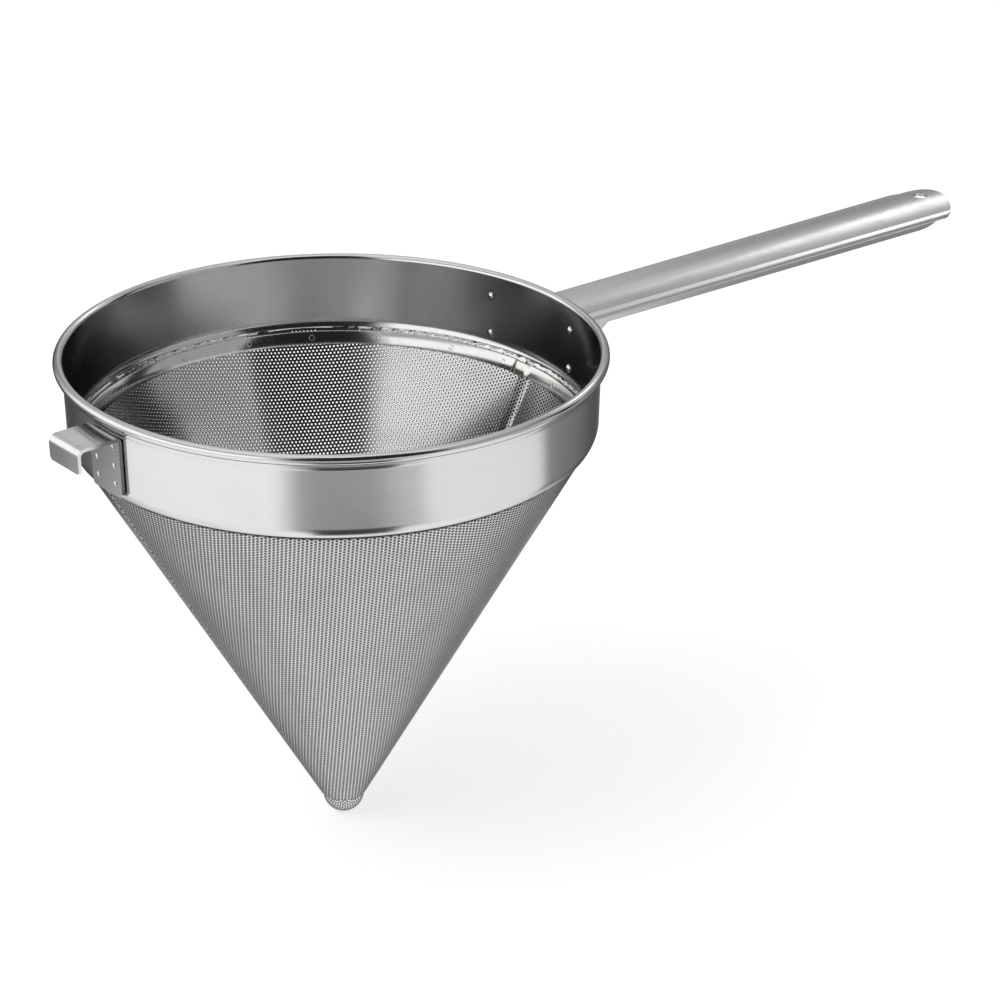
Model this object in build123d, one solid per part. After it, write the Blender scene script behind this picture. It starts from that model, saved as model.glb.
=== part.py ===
from build123d import *
import math
import os

os.makedirs("parts", exist_ok=True)

# Frame: +X runs along the handle, +Z up, the cone's axis is Z, and z is 0 at the underside of the band's hem.

# Band: the collar with its rolled and hemmed top edge
inner_diameter = 240.0
band_sheet = 0.8
wire_diameter = 2.8
wire_clearance = 0.1
hem_height = 2.9
wall_drop = 26.0
shoulder_radius = 9.0
flange_width = 1.0
cone_half_angle = 27.8

# Perforated sheet: a plain grid of windows stands for its holes, with the same open area
cone_sheet = 0.8
nest_gap = 0.1
cone_lap = 0.6
tip_diameter = 22.6
seam_width = 5.0
window_margin = 3.0
window_columns = 12
window_rows = 8
window_share = 0.49

# Ring over the top edge of the perforated sheet
ring_sheet = 0.8
ring_inset = 1.3
ring_height = 6.1

# Cap in the point of the cone
cap_sheet = 0.8
collar_height = 5.0
cap_skirt = 1.2

# Rivets
shank_diameter = 3.0
shank_clearance = 0.05
head_diameter = 4.8
head_height = 1.7
tail_height = 1.0
head_gap = 0.05

# Handle
handle_sheet = 1.5
handle_length = 303.2
handle_root_width = 39.2
handle_end_width = 46.0
crown_radius = 41.0
lip_width = 4.0
lip_drop = 0.9
edge_height = 4.2
edge_bend = 0.5
root_depth = 3.2
handle_rise = 0.77
hole_diameter = 8.5
hole_to_tip = 14.6
taper_length = 15.5
taper_radius = 28.0

# Ears: the handle's root, bent out against the band
ear_gap = 0.1
ear_inset = 0.2
ear_bend = 8.0
ear_flat = 11.3
ear_top = 0.8
ear_overhang = 3.4
ear_web = 24.0
ear_web_top = 9.0
ear_round = 4.0
rivet_from_end = 8.1
rivet_from_top = 4.1
rivet_above_bend = 1.5

# Hook
hook_sheet = 1.5
hook_width = 22.0
hook_length = 21.0
hook_top = 0.6
hook_lip = 11.0
hook_overhang = 2.6
root_bend = 1.0
tip_bend = 2.2
hook_round = 1.8
hook_turn = 3.5
weld_across = 12.8
weld_top = 5.6
weld_foot = 5.8
weld_rows = 3
weld_diameter = 2.4
weld_depth = 0.3

# Spare length by which a cutting solid passes what it cuts
overrun = 5.0

# Sizes of the band that follow
inner_r = inner_diameter / 2
wall_r = inner_r + band_sheet
bore_r = wire_diameter / 2 + wire_clearance
bead_r = bore_r + band_sheet
bead_z = hem_height + bead_r
bead_x = inner_r + bead_r
slope = math.radians(cone_half_angle)
shoulder_x = wall_r - shoulder_radius
shoulder_end_x = shoulder_x + shoulder_radius * math.cos(slope)
shoulder_end_z = -wall_drop - shoulder_radius * math.sin(slope)
flange_end_x = shoulder_end_x - flange_width * math.sin(slope)
flange_end_z = shoulder_end_z - flange_width * math.cos(slope)


def cone_r(z, inset=0):
    """Radius at height z of the cone that lies inset inside the perforated sheet's outer face."""
    depth = band_sheet + nest_gap + inset
    return flange_end_x + (z - flange_end_z) * math.tan(slope) - depth / math.cos(slope)


def cone_band(top, bottom, inset, sheet):
    """Section of a conical sheet between two heights, inset from the perforated sheet's outer face."""
    corners = [
        (cone_r(top, inset), top),
        (cone_r(bottom, inset), bottom),
        (cone_r(bottom, inset + sheet), bottom),
        (cone_r(top, inset + sheet), top),
    ]
    return make_face(Polyline(*corners, close=True))


def turned(section):
    """Solid of revolution about Z of a section drawn with radius across and height up."""
    return revolve(Plane.XZ * section, Axis.Z)


def box_section(x_low, x_high, z_low, z_high):
    """Upright rectangle given by its sides."""
    centre = Pos((x_low + x_high) / 2, (z_low + z_high) / 2)
    return centre * Rectangle(x_high - x_low, z_high - z_low)


# Band
bead = Pos(bead_x, bead_z) * (Circle(bead_r) - Circle(bore_r))
wall = box_section(inner_r, wall_r, -wall_drop, bead_z)
hem = box_section(wall_r, wall_r + band_sheet, 0, bead_z)
hem = hem - Pos(bead_x, bead_z) * Circle(bore_r)
hem = hem - box_section(wall_r, wall_r + band_sheet + overrun, bead_z - band_sheet, bead_z + overrun)
shoulder_ring = Circle(shoulder_radius) - Circle(shoulder_radius - band_sheet)
wedge_reach = shoulder_radius + overrun
wedge = make_face(Polyline(
    (0, 0),
    (wedge_reach, 0),
    (wedge_reach, -wedge_reach * math.tan(slope)),
    close=True,
))
shoulder = Pos(shoulder_x, -wall_drop) * (shoulder_ring & wedge)
flange = make_face(Polyline(
    (shoulder_end_x, shoulder_end_z),
    (flange_end_x, flange_end_z),
    (flange_end_x - band_sheet * math.cos(slope), flange_end_z + band_sheet * math.sin(slope)),
    (shoulder_end_x - band_sheet * math.cos(slope), shoulder_end_z + band_sheet * math.sin(slope)),
    close=True,
))
band_section = bead + (wall - Pos(bead_x, bead_z) * Circle(bore_r)) + hem + shoulder + flange
band = turned(band_section)

# Wire in the rolled edge
rim_wire = turned(Pos(bead_x, bead_z) * Circle(wire_diameter / 2))

# Perforated cone with its lap seam under the handle
cone_top = flange_end_z + cone_lap
tip_r = tip_diameter / 2
cone_tip = cone_top - (cone_r(cone_top) - tip_r) / math.tan(slope)
ring_top = cone_top - ring_inset
ring_bottom = ring_top - ring_height
lap_top = ring_bottom - nest_gap
lap_bottom = cone_tip + collar_height + nest_gap
perforated_cone = turned(cone_band(cone_top, cone_tip, 0, cone_sheet))
lap = turned(cone_band(lap_top, lap_bottom, cone_sheet / 2, 3 * cone_sheet / 2))
lap_slab = Pos(inner_r / 2, 0, (lap_top + lap_bottom) / 2) * Box(inner_r, seam_width, lap_top - lap_bottom + overrun)
perforated_cone = perforated_cone + (lap & lap_slab)

# Windows in rows that shrink with the cone, between the ring and the cap's collar, with a rib over the lap seam
apex_z = cone_tip - tip_r / math.tan(slope)
grid_top = lap_top - window_margin - apex_z
grid_low = lap_bottom + window_margin - apex_z
row_ratio = (grid_low / grid_top) ** (1 / window_rows)
window_turn = 360 / window_columns
for row in range(window_rows):
    row_top = grid_top * row_ratio**row
    row_low = row_top * row_ratio
    row_middle = (row_top + row_low) / 2
    window_r = row_middle * math.tan(slope)
    window_height = window_share * (row_top - row_low)
    window_width = window_share * math.radians(window_turn) * window_r
    window = Box(window_height + 4 * cone_sheet, window_width, window_height)
    for column in range(window_columns):
        turn = Rot(0, 0, (column + 0.5) * window_turn)
        perforated_cone = perforated_cone - turn * Pos(window_r, 0, apex_z + row_middle) * window

# Retaining ring
retaining_ring = turned(cone_band(ring_top, ring_bottom, cone_sheet + nest_gap, ring_sheet))

# Tip cap: collar, skirt and dome
cap_r = cone_r(cone_tip, cone_sheet + nest_gap)
skirt_bottom = cone_tip - cap_skirt
collar = cone_band(cone_tip + collar_height, cone_tip, cone_sheet + nest_gap, cap_sheet)
skirt = box_section(cap_r - cap_sheet, cap_r, skirt_bottom, cone_tip)
dome_ring = Circle(cap_r) - Circle(cap_r - cap_sheet)
dome = Pos(0, skirt_bottom) * (dome_ring & box_section(0, cap_r, -cap_r, 0))
tip_cap = turned(collar + skirt + dome)

# Handle sizes that follow
handle_reach = wall_r + handle_length
width_slope = (handle_end_width - handle_root_width) / 2 / handle_length
rise_slope = math.tan(math.radians(handle_rise))


def half_width(x):
    return handle_root_width / 2 + width_slope * (x - wall_r)


def crown_z(x):
    return -root_depth + rise_slope * (x - wall_r)


# Ear sizes that follow: the ears lie on the band from their bends to their ends
ear_r = wall_r + ear_gap
ear_mid_r = ear_r + handle_sheet / 2
side_y = half_width(wall_r + ear_bend) - ear_inset - handle_sheet / 2
bend_y = side_y + ear_bend
ear_half_width = bend_y + ear_flat
ear_low = -wall_drop - ear_overhang

# Rivet places: angle about Z and height
rivet_angle = math.degrees(math.asin((ear_half_width - rivet_from_end) / ear_mid_r))
rivet_high = -ear_top - rivet_from_top
rivet_low = -wall_drop + rivet_above_bend
rivet_places = {
    "rivet_upper_left": (rivet_angle, rivet_high),
    "rivet_upper_right": (-rivet_angle, rivet_high),
    "rivet_lower_left": (rivet_angle, rivet_low),
    "rivet_lower_right": (-rivet_angle, rivet_low),
}


def radial(angle, z, start, length, radius):
    """Cylinder along the radius at an angle about Z, from start outward."""
    rod = Cylinder(radius, length, align=(Align.CENTER, Align.CENTER, Align.MIN))
    return Rot(0, 0, angle) * Pos(start, 0, z) * Rot(0, 90, 0) * rod


def domed(radius, height):
    """Half-round rivet head, flat face at z 0 and dome up."""
    ball_r = (radius**2 + height**2) / (2 * height)
    ball = Pos(0, 0, height - ball_r) * Sphere(ball_r)
    return ball & Cylinder(radius, height, align=(Align.CENTER, Align.CENTER, Align.MIN))


def rivet(angle, z):
    """Rivet through band and ear: domed head inside the band, low head outside the ear."""
    head_x = inner_r - head_gap
    tail_x = ear_r + handle_sheet
    shank = radial(angle, z, head_x, tail_x - head_x, shank_diameter / 2)
    head = Rot(0, 0, angle) * Pos(head_x, 0, z) * Rot(0, -90, 0) * domed(head_diameter / 2, head_height)
    tail = Rot(0, 0, angle) * Pos(tail_x, 0, z) * Rot(0, 90, 0) * domed(head_diameter / 2, tail_height)
    return shank + head + tail


rivets = {name: rivet(*place) for name, place in rivet_places.items()}
hole_r = shank_diameter / 2 + shank_clearance
for angle, z in rivet_places.values():
    band = band - radial(angle, z, inner_r - overrun, 2 * overrun, hole_r)

# Handle body: sections across X from the band to past the tip
def edge_z(x):
    """Height of the sharp corner between the lip and the turned-down edge."""
    valley = half_width(x) - lip_width
    return crown_z(x) - crown_radius + math.sqrt(crown_radius**2 - valley**2) - lip_drop


def channel_section(x, inset, drop):
    """Filled section at x, inset from the handle's outer face, its open side drop below the corner."""
    centre_z = crown_z(x) - crown_radius
    radius = crown_radius - inset
    side = half_width(x) - inset
    valley_y = half_width(x) - lip_width
    valley_z = centre_z + math.sqrt(crown_radius**2 - valley_y**2)
    tilt = math.atan2(lip_drop, lip_width)
    # The lip's line, moved inward, meets the moved crown and the moved side
    along_y = math.cos(tilt)
    along_z = -math.sin(tilt)
    start_y = valley_y - inset * math.sin(tilt)
    start_z = valley_z - inset * math.cos(tilt)
    offset_z = start_z - centre_z
    half_b = start_y * along_y + offset_z * along_z
    root = math.sqrt(half_b**2 - start_y**2 - offset_z**2 + radius**2)
    run = min(root - half_b, -root - half_b, key=abs)
    valley_y = start_y + run * along_y
    valley_z = start_z + run * along_z
    corner_z = start_z + (side - start_y) / along_y * along_z
    foot_z = edge_z(x) - drop
    bend = edge_bend + handle_sheet - inset
    reach = bend * math.tan((math.pi / 2 - tilt) / 2)
    lip_y = side - reach * math.cos(tilt)
    lip_z = corner_z + reach * math.sin(tilt)
    bend_z = corner_z - reach
    middle = (math.pi / 2 + tilt) / 2
    bend_mid = (side - bend + bend * math.sin(middle), bend_z + bend * math.cos(middle))
    right = [
        Line((side, foot_z), (side, bend_z)),
        ThreePointArc((side, bend_z), bend_mid, (lip_y, lip_z)),
        Line((lip_y, lip_z), (valley_y, valley_z)),
    ]
    left = [edge.mirror(Plane.YZ) for edge in right]
    crown = ThreePointArc((valley_y, valley_z), (0, centre_z + radius), (-valley_y, valley_z))
    foot = Line((side, foot_z), (-side, foot_z))
    outline = Wire(right + [crown] + left + [foot])
    plane = Plane(origin=(x, 0, 0), x_dir=(0, 1, 0), z_dir=(1, 0, 0))
    return plane * make_face(outline)


root_x = wall_r - overrun
past_x = handle_reach + overrun
outside = loft([channel_section(x, 0, edge_height) for x in (root_x, past_x)], ruled=True)
hollow_ends = (root_x - overrun, past_x + overrun)
inside = loft([channel_section(x, handle_sheet, edge_height + overrun) for x in hollow_ends], ruled=True)
body = outside - inside

# Rounded end, and the turned-down edges tapering into it
end_r = handle_end_width / 2
end_x = handle_reach - end_r
plan_low = root_x - overrun
plan = Pos((plan_low + end_x) / 2, 0) * Rectangle(end_x - plan_low, handle_end_width + overrun)
plan = plan + Pos(end_x, 0) * Circle(end_r)
body = body & extrude(plan, handle_reach, both=True)
taper_x = end_x - taper_length
foot_z = edge_z(end_x) - edge_height
taper_rise = edge_height - handle_sheet
taper_run = math.sqrt(taper_radius**2 - (taper_radius - taper_rise)**2)
taper_mid = taper_run / 2
taper_mid_z = foot_z + taper_radius - math.sqrt(taper_radius**2 - taper_mid**2)
taper_arc = ThreePointArc(
    (taper_x, foot_z),
    (taper_x + taper_mid, taper_mid_z),
    (taper_x + taper_run, foot_z + taper_rise),
)
taper_lines = Polyline(
    (taper_x + taper_run, foot_z + taper_rise),
    (past_x, foot_z + taper_rise),
    (past_x, foot_z - overrun),
    (taper_x, foot_z - overrun),
    (taper_x, foot_z),
)
taper_face = Plane.XZ * make_face([taper_arc, taper_lines])
body = body - extrude(taper_face, handle_end_width, both=True)

# Ears: the side's line in plan, the bend, and the arc that follows the band
bend_x = math.sqrt((ear_mid_r + ear_bend)**2 - bend_y**2)
bend_angle = math.atan2(bend_y, bend_x)
ear_end = math.asin(ear_half_width / ear_mid_r)
ear_middle = (bend_angle + ear_end) / 2
web_x = bend_x + ear_web


def polar(radius, angle):
    return (radius * math.cos(angle), radius * math.sin(angle))


def ear_outline(offset):
    """One face of the ear in plan, offset from its middle away from the band."""
    turn = ear_bend - offset
    middle = math.pi - (math.pi / 2 - bend_angle) / 2 + math.pi / 2
    side = Line((web_x, side_y + offset), (bend_x, side_y + offset))
    bend = ThreePointArc(
        (bend_x, bend_y - turn),
        (bend_x + turn * math.cos(middle), bend_y + turn * math.sin(middle)),
        (bend_x - turn * math.cos(bend_angle), bend_y - turn * math.sin(bend_angle)),
    )
    plate = ThreePointArc(
        polar(ear_mid_r + offset, bend_angle),
        polar(ear_mid_r + offset, ear_middle),
        polar(ear_mid_r + offset, ear_end),
    )
    return side, bend, plate


near = ear_outline(handle_sheet / 2)
far = ear_outline(-handle_sheet / 2)
ear_cap = Line(near[2] @ 1, far[2] @ 1)
web_cap = Line(near[0] @ 0, far[0] @ 0)
ear_plan = make_face([*near, *far, ear_cap, web_cap])
ear = extrude(Pos(0, 0, ear_low) * ear_plan, -ear_top - ear_low)

# Side view of the ear: full height at the band, narrowing to the turned-down edge
web_top_x = bend_x + ear_web_top
web_top_z = edge_z(web_top_x) - edge_bend - handle_sheet
web_low_z = edge_z(web_x) - edge_height
ear_side = make_face(Polyline(
    (plan_low, -ear_top),
    (bend_x, -ear_top),
    (web_top_x, web_top_z),
    (web_x, edge_z(web_x) - edge_bend - handle_sheet),
    (web_x, web_low_z),
    (bend_x, ear_low),
    (plan_low, ear_low),
    close=True,
))
ear = ear & extrude(Plane.XZ * ear_side, -handle_end_width - overrun)
far_edges = ear.edges().filter_by(lambda edge: edge.center().Y > ear_half_width - handle_sheet)
corner_edges = far_edges.filter_by(lambda edge: edge.length < 2 * handle_sheet)
ear = fillet(corner_edges, ear_round)
handle = body + ear + ear.mirror(Plane.XZ)
handle = handle - Pos(0, 0, ear_low) * Cylinder(ear_r, -4 * ear_low)
for angle, z in rivet_places.values():
    handle = handle - radial(angle, z, wall_r - overrun, 3 * overrun, hole_r)
hole_x = handle_reach - hole_to_tip
handle = handle - Pos(hole_x, 0, crown_z(hole_x)) * Cylinder(hole_diameter / 2, 2 * overrun)

# Hook: one bent strip, drawn from the foot of its plate to the end of its lip
hook_reach = wall_r + hook_length
strip_z = -hook_top
plate_foot = -wall_drop - hook_overhang
lip_foot = strip_z - hook_lip
plate_x = wall_r
root_outer = root_bend + hook_sheet
tip_outer = tip_bend + hook_sheet
diagonal_share = math.sqrt(0.5)


def quarter(centre_x, centre_z, radius, side):
    """Quarter arc that joins a level face to an upright one, on the upper side of its centre."""
    return ThreePointArc(
        (centre_x, centre_z + radius),
        (centre_x + side * radius * diagonal_share, centre_z + radius * diagonal_share),
        (centre_x + side * radius, centre_z),
    )


# The root bends from the plate's upright face into the level strip, the tip from the strip into the lip
root_centre_x = plate_x + root_outer
root_centre_z = strip_z - root_outer
tip_centre_x = hook_reach - tip_outer
tip_centre_z = strip_z - tip_outer
under_z = strip_z - hook_sheet
root_in_x = plate_x + hook_sheet + root_bend
root_in_z = under_z - root_bend
hook_lines = [
    Line((plate_x, plate_foot), (plate_x, root_centre_z)),
    quarter(root_centre_x, root_centre_z, root_outer, -1),
    Line((root_centre_x, strip_z), (tip_centre_x, strip_z)),
    quarter(tip_centre_x, tip_centre_z, tip_outer, 1),
    Line((hook_reach, tip_centre_z), (hook_reach, lip_foot)),
    Line((hook_reach, lip_foot), (hook_reach - hook_sheet, lip_foot)),
    Line((hook_reach - hook_sheet, lip_foot), (hook_reach - hook_sheet, tip_centre_z)),
    quarter(tip_centre_x, tip_centre_z, tip_bend, 1),
    Line((tip_centre_x, under_z), (root_in_x, under_z)),
    quarter(root_in_x, root_in_z, root_bend, -1),
    Line((plate_x + hook_sheet, root_in_z), (plate_x + hook_sheet, plate_foot)),
    Line((plate_x + hook_sheet, plate_foot), (plate_x, plate_foot)),
]
hook = extrude(Plane.XZ * make_face(hook_lines), hook_width / 2, both=True)
foot_edges = hook.edges().filter_by(Axis.X).filter_by(lambda edge: edge.center().Z < strip_z - hook_lip / 2)
hook = fillet(foot_edges, hook_round)

# Spot-weld dimples in two columns on the plate, the upper pair under the strip
dimple_r = (weld_diameter**2 / 4 + weld_depth**2) / (2 * weld_depth)
dimple_x = plate_x + hook_sheet + dimple_r - weld_depth
weld_pitch = (strip_z - weld_top - plate_foot - weld_foot) / (weld_rows - 1)
for side in (-1, 1):
    for row in range(weld_rows):
        place = Pos(dimple_x, side * weld_across / 2, strip_z - weld_top - row * weld_pitch)
        hook = hook - place * Sphere(dimple_r)
hook = Rot(0, 0, 180 + hook_turn) * hook

nodes = {
    "band": band,
    "rim_wire": rim_wire,
    "perforated_cone": perforated_cone,
    "retaining_ring": retaining_ring,
    "tip_cap": tip_cap,
    "handle": handle,
    **rivets,
    "hook": hook,
}
for name, shape in nodes.items():
    print(name, len(shape.solids()), "solid(s), volume", round(shape.volume, 1))
    export_step(shape.solids()[0], f"parts/{name}.step")
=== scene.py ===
import functools
import math
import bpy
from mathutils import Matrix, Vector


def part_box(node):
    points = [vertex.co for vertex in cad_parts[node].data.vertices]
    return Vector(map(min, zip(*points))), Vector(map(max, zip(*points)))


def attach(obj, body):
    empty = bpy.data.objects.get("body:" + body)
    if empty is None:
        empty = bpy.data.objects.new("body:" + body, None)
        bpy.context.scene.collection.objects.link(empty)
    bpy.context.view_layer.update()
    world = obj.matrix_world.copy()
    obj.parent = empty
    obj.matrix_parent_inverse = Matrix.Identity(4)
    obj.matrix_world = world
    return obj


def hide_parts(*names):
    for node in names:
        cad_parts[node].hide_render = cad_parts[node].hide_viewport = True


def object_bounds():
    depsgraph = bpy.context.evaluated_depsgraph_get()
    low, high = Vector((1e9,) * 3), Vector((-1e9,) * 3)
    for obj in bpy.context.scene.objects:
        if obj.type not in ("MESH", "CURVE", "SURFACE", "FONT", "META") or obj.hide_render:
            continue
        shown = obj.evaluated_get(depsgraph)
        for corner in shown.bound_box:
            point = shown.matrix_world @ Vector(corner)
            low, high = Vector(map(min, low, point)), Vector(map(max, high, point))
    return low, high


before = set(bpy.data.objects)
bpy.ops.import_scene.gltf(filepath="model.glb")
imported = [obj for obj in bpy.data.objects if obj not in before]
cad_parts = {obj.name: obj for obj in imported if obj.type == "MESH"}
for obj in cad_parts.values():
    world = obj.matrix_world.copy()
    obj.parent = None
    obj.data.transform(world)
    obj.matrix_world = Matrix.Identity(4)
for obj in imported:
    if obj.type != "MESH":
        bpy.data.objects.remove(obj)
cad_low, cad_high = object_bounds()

from types import SimpleNamespace

import bpy
from bpy.props import FloatProperty, FloatVectorProperty, IntProperty, PointerProperty
from bpy.types import Operator, Panel, PropertyGroup
from mathutils import Matrix, Vector

bl_info = {
    "name": "Chinois strainer looks",
    "version": (1, 0, 0),
    "blender": (4, 5, 0),
    "location": "View3D > Sidebar > Strainer",
    "description": "Dresses the strainer's frame: perforated sheet, welds, polished steel and the studio",
    "category": "Object",
}

# Lengths in metres
SLICE = 1e-4  # height over which a node's radius is read
FIT_GAP = 0.0001  # between the perforated sheet and the ring
HEM_GAP = 0.00006  # between the band's wall and its hem
WELD_SINK = 0.00004  # how deep the edge of a weld mark lies in the ring
SCRATCH_DEPTH = 0.000004
SHADING_START = 0.0004  # distance from a face at which the painted shade along it sets in
SHADING_FULL = 0.0001  # and at which it covers the steel

# Shares
ROW_SHARE = math.sqrt(3) / 2  # distance of rows of holes, in pitches
CELL_REACH = 0.6  # beyond the corners of a hole's cell, from its centre, in pitches
EDGE_SHARE = 0.3  # rounding of a sheet's edge, in thicknesses
MERGE_SHARE = 0.01  # distance at which points merge, in pitches or radii

HOLE_SIDES = 8
RIVET_SIDES = 32
ANGLE_SLACK = 1e-6  # keeps a cell on the border of two pieces in one of them
NO_AREA = 1e-11  # faces below this, in square metres, are dropped


# Places read from the frame

def widest(node, low, high):
    """Largest radius about Z of a node's points between two heights."""
    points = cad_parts[node].data.vertices
    return max(point.co.xy.length for point in points if low <= point.co.z <= high)


cone_low, cone_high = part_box("perforated_cone")
ring_low, ring_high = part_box("retaining_ring")
cap_low, cap_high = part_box("tip_cap")
band_low, band_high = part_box("band")
wire_low, wire_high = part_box("rim_wire")
cone_top_radius = widest("perforated_cone", cone_high.z - SLICE, cone_high.z)
cone_tip_radius = widest("perforated_cone", cone_low.z, cone_low.z + SLICE)
cone_half_angle = math.atan2(cone_top_radius - cone_tip_radius, cone_high.z - cone_low.z)
cone_apex_height = cone_high.z - cone_top_radius / math.tan(cone_half_angle)
cap_radius = widest("tip_cap", cap_low.z, cone_low.z)
wall_radius = widest("band", band_low.z, band_low.z / 2)


# Sizes and colours that a user may change

def LengthProperty(name, description, default, **limits):
    return FloatProperty(name=name, description=description, default=default, unit="LENGTH", **limits)


def TurnProperty(name, description, degrees):
    return FloatProperty(
        name=name, description=description, default=math.radians(degrees), subtype="ANGLE", unit="ROTATION")


def ColourProperty(name, description, *default):
    return FloatVectorProperty(
        name=name, description=description, default=default, subtype="COLOR", min=0, max=1)


def ShareProperty(name, description, default):
    return FloatProperty(
        name=name, description=description, default=default, min=0, max=1, subtype="FACTOR")


class SheetSizes(PropertyGroup):
    """The perforated sheet and how it is rolled up."""

    hole_pitch: LengthProperty("Hole pitch", "Distance between neighbouring holes", 0.00197, min=0.0005)
    hole_diameter: LengthProperty("Hole diameter", "Width of one hole", 0.00104, min=0.0001)
    thickness: LengthProperty("Thickness", "Thickness of the sheet", 0.0008, min=0.0001)
    first_row: LengthProperty(
        "First row", "Distance of the first row of holes from the sheet's straight edge", 0.00098, min=0)
    row_turn: TurnProperty(
        "Row turn", "Angle of the rows to the straight edge in the half sheet that starts at the hook", 29.5)
    seam_turn: TurnProperty("Seam turn", "Angle about Z of the sheet's outer straight edge", -1.2)
    lap_width: LengthProperty("Lap width", "How far the sheet overlaps itself at the seam", 0.005, min=0)
    lap_ramp: LengthProperty(
        "Lap ramp", "Length over which the sheet steps inward to make the lap", 0.0022, min=0.0001)
    lap_depth: LengthProperty("Lap depth", "How far the lapped edge lies inside the sheet", 0.00085, min=0)
    plain_edge: LengthProperty(
        "Plain edge", "Width of the unpierced edge at the top of the cone", 0.00205, min=0)
    piece_count: IntProperty(
        name="Pieces", description="How many meshes each half sheet is split into", default=5, min=1, max=12)


class BandSizes(PropertyGroup):
    """The band's sheet, its rolled edge and its foot."""

    sheet: LengthProperty("Sheet", "Thickness of the band's sheet", 0.0008, min=0.0001)
    shoulder: LengthProperty("Shoulder", "Outer radius of the bend at the band's foot", 0.009, min=0.001)
    flange: LengthProperty("Flange", "Width of the sloped edge below the bend", 0.001, min=0)
    facets: IntProperty(
        name="Facets", description="Number of faces round the band", default=360, min=24, max=720)


class RingSizes(PropertyGroup):
    """The retaining ring and its spot welds."""

    sheet: LengthProperty("Sheet", "Thickness of the ring", 0.0008, min=0.0001)
    lap_turn: TurnProperty(
        "Lap turn", "Angle about Z of the middle of the ring's step over the lap seam", 1.6)
    lap_reach: TurnProperty("Lap reach", "Half the angle that the step spans", 3.1)
    weld_count: IntProperty(
        name="Welds", description="Number of spot welds round the ring", default=20, min=1, max=90)
    weld_turn: TurnProperty("Weld turn", "Angle about Z of one of the welds", 43.2)
    weld_jitter: TurnProperty("Weld jitter", "Angle over which a weld's place varies", 4)
    weld_seed: IntProperty(name="Weld seed", description="Number that the jitter is drawn from", default=7)
    weld_radius: LengthProperty("Weld radius", "Radius of a spot weld's mark", 0.0015, min=0.0002)
    weld_depth: LengthProperty("Weld depth", "How deep the mark's hollow is", 0.00009, min=0)


class RivetSizes(PropertyGroup):
    """The four rivets that hold the handle."""

    head_radius: LengthProperty("Head radius", "Radius of a rivet's head", 0.0023, min=0.0005)
    head_height: LengthProperty(
        "Head height", "How far the head stands out from the band", 0.0014, min=0.0002)
    shank_radius: LengthProperty("Shank radius", "Radius of a rivet's shank", 0.00145, min=0.0002)


class CapSizes(PropertyGroup):
    """The cap in the cone's point."""

    sheet: LengthProperty("Sheet", "Thickness of the cap", 0.0008, min=0.0001)
    skirt: LengthProperty("Skirt", "Straight length between the dome and the collar", 0.0012, min=0)


class SteelColours(PropertyGroup):
    """Colours of the steel."""

    band: ColourProperty("Band", "Colour of the polished band and ring", 0.61, 0.605, 0.595)
    sheet: ColourProperty("Sheet", "Colour of the perforated sheet", 0.6, 0.597, 0.59)
    handle: ColourProperty("Handle", "Colour of the handle and the hook", 0.62, 0.62, 0.62)
    # Painted shade: the near-black colour laid over the steel in the holes, along the lap, under the band's
    # flange and round the rivets' heads, standing in for shade
    painted_shade: ColourProperty("Painted shade", "Colour of the dirt in crevices and round the holes", 0.035, 0.034, 0.032)
    heat_tint: ColourProperty("Heat tint", "Colour that welding leaves on the steel", 0.6, 0.57, 0.52)


class ShadingShares(PropertyGroup):
    """How strongly the painted shade darkens the steel in the holes, along the lap, under the flange and
    round the rivets.
    """

    holes: ShareProperty("Holes", "Shading round the holes, seen from inside the cone", 0.95)
    outside: ShareProperty("Outside", "How much less of it is seen from outside", 0.2)
    lap: ShareProperty("Lap", "Shading along the lap of the sheet", 0.3)
    flange: ShareProperty("Flange", "Shading on the sheet under the band's flange", 0.95)
    flange_reach: LengthProperty("Flange reach", "How far that dirt reaches down the sheet", 0.0024, min=0)
    rivets: ShareProperty("Rivets", "Shading where a rivet's head meets the band", 0.9)


class StageSizes(PropertyGroup):
    """The camera, the floor and the light around the strainer."""

    camera_distance: LengthProperty(
        "Camera distance", "Level distance from the cone's axis to the camera", 0.82907, min=0.1)
    camera_height: LengthProperty("Camera height", "Height of the camera above the hem", 0.3322)
    camera_azimuth: TurnProperty("Camera azimuth", "Angle about Z from the handle to the camera", -124.7)
    camera_pitch: TurnProperty("Camera pitch", "How far the camera looks down", 25.996)
    camera_yaw: TurnProperty("Camera yaw", "How far the camera looks to the right of the axis", 5.276)
    camera_roll: TurnProperty("Camera roll", "Tilt of the camera about its line of sight", 1.085)
    focal_share: FloatProperty(
        name="Focal share", description="Focal length as a share of the sensor's width",
        default=1.9593, min=0.1)
    floor_level: LengthProperty("Floor level", "Height of the floor", cad_low.z - 0.0005)
    floor_reach: LengthProperty("Floor reach", "Half the floor's width", 30, min=1)
    floor_lift: FloatProperty(
        name="Floor lift", description="Light that the floor adds of itself towards the camera",
        default=0.52, min=0)
    floor_colour: ColourProperty("Floor colour", "Colour of the floor", 0.9, 0.9, 0.9)
    world_light: ShareProperty("World light", "Strength of the even light, apart from what is seen", 0.5)


def settings(name):
    return getattr(bpy.context.scene, "strainer_" + name)


# Building node trees

def arithmetic(operation, swapped=False):
    """An operator of Value, which adds the math node of that operation."""
    def operator(self, other):
        return self.build.math(operation, *((other, self) if swapped else (self, other)))
    return operator


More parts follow.
